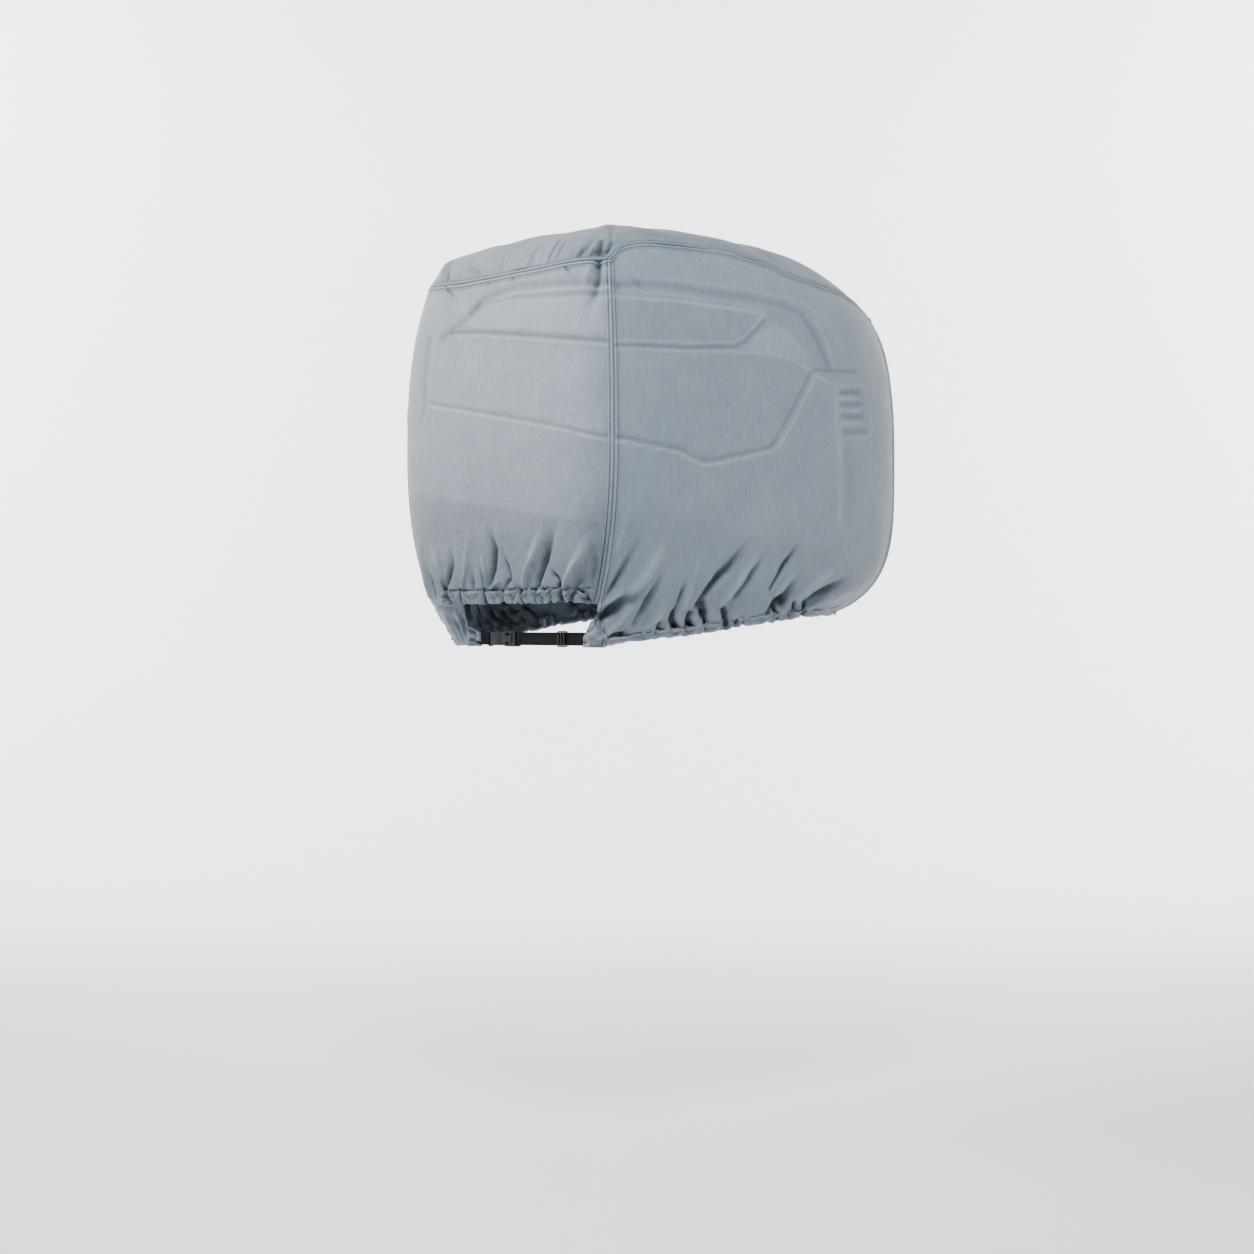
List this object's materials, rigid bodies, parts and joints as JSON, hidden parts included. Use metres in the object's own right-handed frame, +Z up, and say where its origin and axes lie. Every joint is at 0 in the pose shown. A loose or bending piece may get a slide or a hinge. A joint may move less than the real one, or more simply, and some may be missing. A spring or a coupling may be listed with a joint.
{
  "type": "outboard motor cover",
  "caption": "Fitted cloth cover for an outboard motor's head, with a seamed roof, a gathered elastic hem and a rear closing strap with a side-release buckle.",
  "frame": {"origin": "on the inner face of the cloth under the crown of the roof, in the middle of the cover's length and width, where the thing that it covers holds it up", "axes": "+X towards the nose (front) of the cover, +Y to port, +Z up"},
  "size_m": [0.8638, 0.7112, 0.802],
  "materials": {
    "cloth": "matt coated weave with a faint sheen",
    "webbing": "matt ribbed webbing",
    "plastic": "satin moulded plastic"
  },
  "bodies": {
    "root": {"top_front_panel": "cloth", "rear_panel": "cloth", "side_panel_starboard": "cloth", "side_panel_port": "cloth", "strap_tab_starboard": "cloth", "strap_tab_port": "cloth", "strap_webbing_long": "webbing", "strap_webbing_short": "webbing", "slider": "plastic", "buckle_socket": "plastic", "buckle_plug": "plastic", "stay_webbing": "webbing"}
  },
  "joints": []
}
